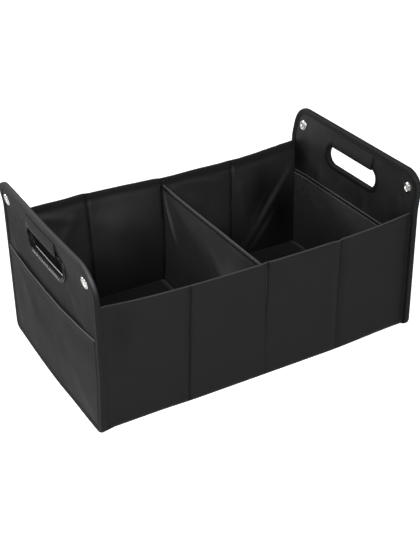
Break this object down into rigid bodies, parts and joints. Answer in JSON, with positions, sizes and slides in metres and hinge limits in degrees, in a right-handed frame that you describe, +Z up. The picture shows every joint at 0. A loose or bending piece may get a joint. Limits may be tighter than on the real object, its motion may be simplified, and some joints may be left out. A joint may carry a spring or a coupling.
{
  "type": "car organizer",
  "caption": "Folding boot organiser: boarded end panels with handle slots and metal eyelets, folding side walls, a divider and two end pockets.",
  "frame": {"origin": "on the ground, at the centre of the organiser's outline seen from above", "axes": "+X along the length, from the end with the slack outer pocket to the end with the inner mesh pocket; +Y across, to the back wall; +Z up"},
  "size_m": [0.5122, 0.3, 0.248],
  "materials": {
    "outer_cloth": "black woven polyester, dull sheen",
    "lining_cloth": "black woven polyester with a coated back, satin",
    "edge_tape": "black woven tape, matte",
    "grip_cloth": "black padded cloth, matte",
    "pocket_mesh": "black knitted mesh",
    "stiffener_board": "grey pressed board, matte",
    "handle_ring_plastic": "black moulded plastic, gloss",
    "nickel": "bright nickel plate"
  },
  "bodies": {
    "root": {"end_cover_left": "outer_cloth", "end_board_left": "stiffener_board", "end_lining_left": "lining_cloth", "edge_tape_left": "edge_tape", "handle_ring_left": "handle_ring_plastic", "grip_sleeve_left": "grip_cloth", "eyelet_left_front": "nickel", "eyelet_washer_left_front": "nickel", "eyelet_left_back": "nickel", "eyelet_washer_left_back": "nickel", "floor_cover_left": "lining_cloth", "floor_board_left": "stiffener_board", "end_cover_right": "outer_cloth", "end_board_right": "stiffener_board", "end_lining_right": "lining_cloth", "edge_tape_right": "edge_tape", "handle_ring_right": "handle_ring_plastic", "grip_sleeve_right": "grip_cloth", "eyelet_right_front": "nickel", "eyelet_washer_right_front": "nickel", "eyelet_right_back": "nickel", "eyelet_washer_right_back": "nickel", "floor_cover_right": "lining_cloth", "floor_board_right": "stiffener_board", "front_wall_cover": "outer_cloth", "front_wall_lining": "lining_cloth", "front_wall_board_1": "stiffener_board", "front_wall_board_2": "stiffener_board", "front_wall_board_3": "stiffener_board", "front_wall_board_4": "stiffener_board", "back_wall_cover": "outer_cloth", "back_wall_lining": "lining_cloth", "back_wall_board_1": "stiffener_board", "back_wall_board_2": "stiffener_board", "back_wall_board_3": "stiffener_board", "back_wall_board_4": "stiffener_board", "divider_cover": "lining_cloth", "divider_board": "stiffener_board", "divider_tape": "edge_tape", "base_cloth": "outer_cloth", "outer_pocket": "outer_cloth", "mesh_pocket": "pocket_mesh", "mesh_pocket_tape": "edge_tape"}
  },
  "joints": []
}
